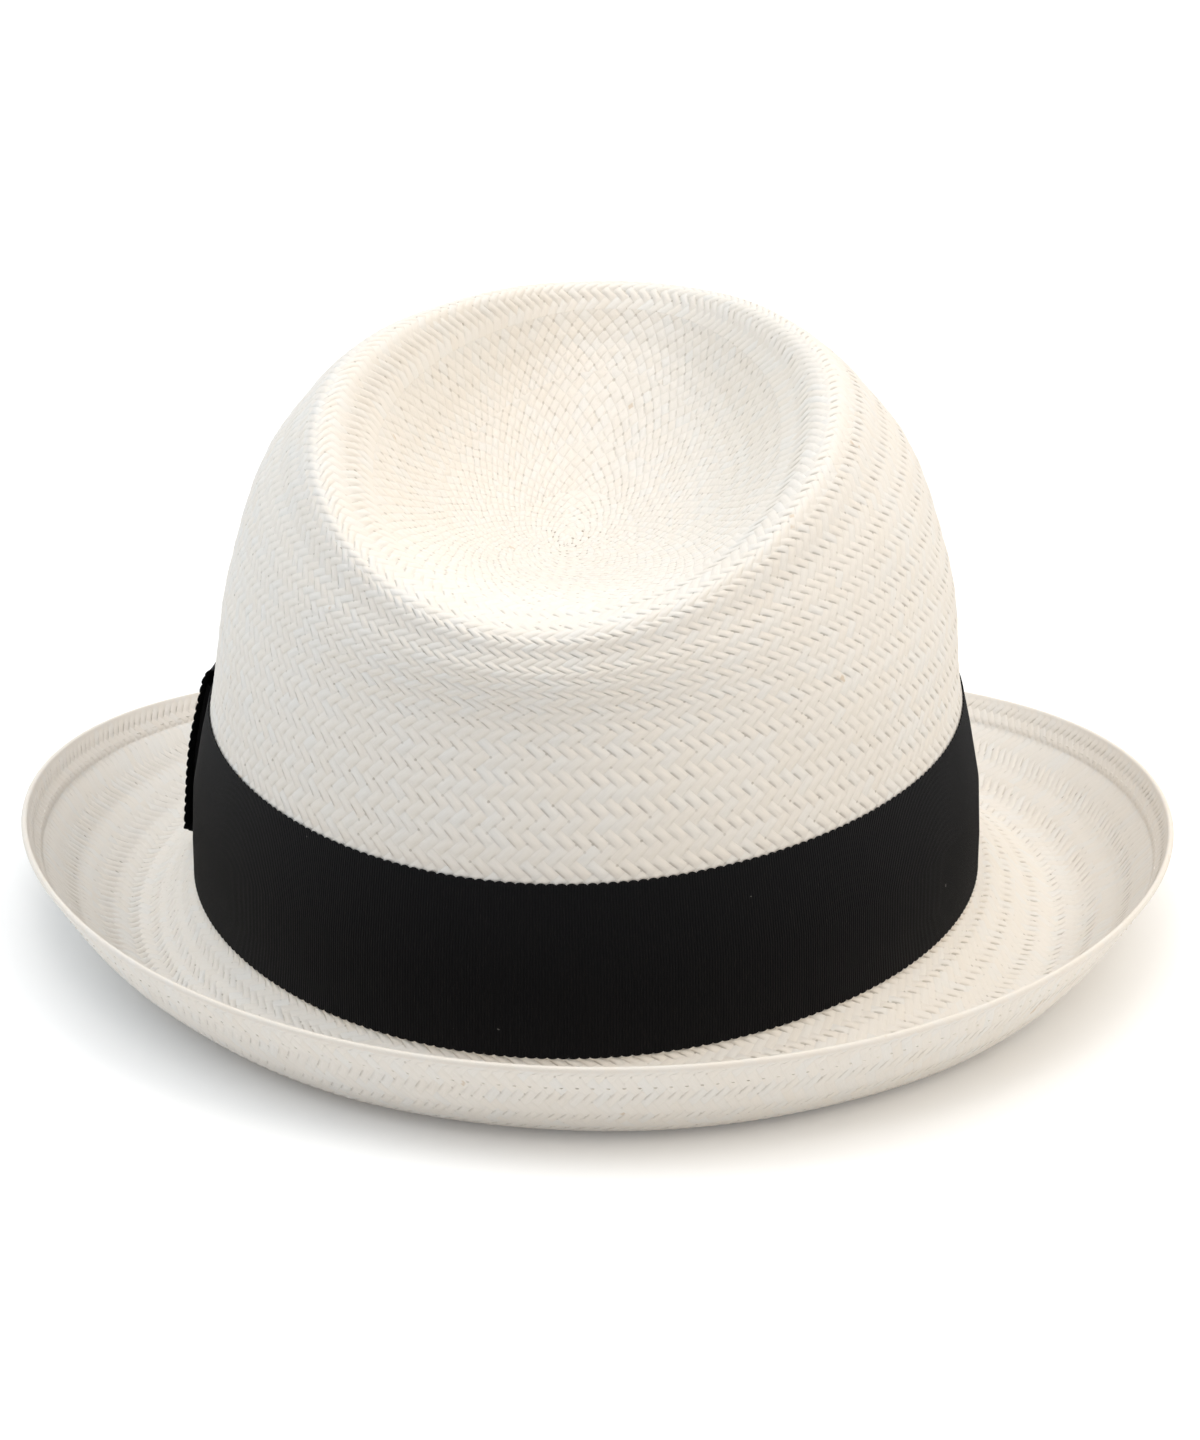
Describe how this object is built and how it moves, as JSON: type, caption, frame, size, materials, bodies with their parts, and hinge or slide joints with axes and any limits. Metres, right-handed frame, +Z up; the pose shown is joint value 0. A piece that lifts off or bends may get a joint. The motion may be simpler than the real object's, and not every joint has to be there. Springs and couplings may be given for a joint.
{
  "type": "panama hat",
  "caption": "Woven straw hat with a drop-shaped crease in the crown, a curled brim with a sewn hem, a dark ribbon band with a side bow, and a sweatband inside.",
  "frame": {"origin": "on the table, under the middle of the hat's box, at the level the brim rests on", "axes": "+Z up through the crown, -Y the hat's front, +Y its back, +X the wearer's left"},
  "size_m": [0.2587, 0.2852, 0.1289],
  "materials": {
    "straw": "matte",
    "wire": "matte",
    "ribbon": "matte",
    "sweat_leather": "satin",
    "reed": "matte"
  },
  "bodies": {
    "root": {"straw_hood": "straw", "brim_wire": "wire", "hat_band": "ribbon", "bow_tail": "ribbon", "bow_loop": "ribbon", "bow_keeper": "ribbon", "sweatband": "sweat_leather", "sweatband_reed": "reed"}
  },
  "joints": []
}
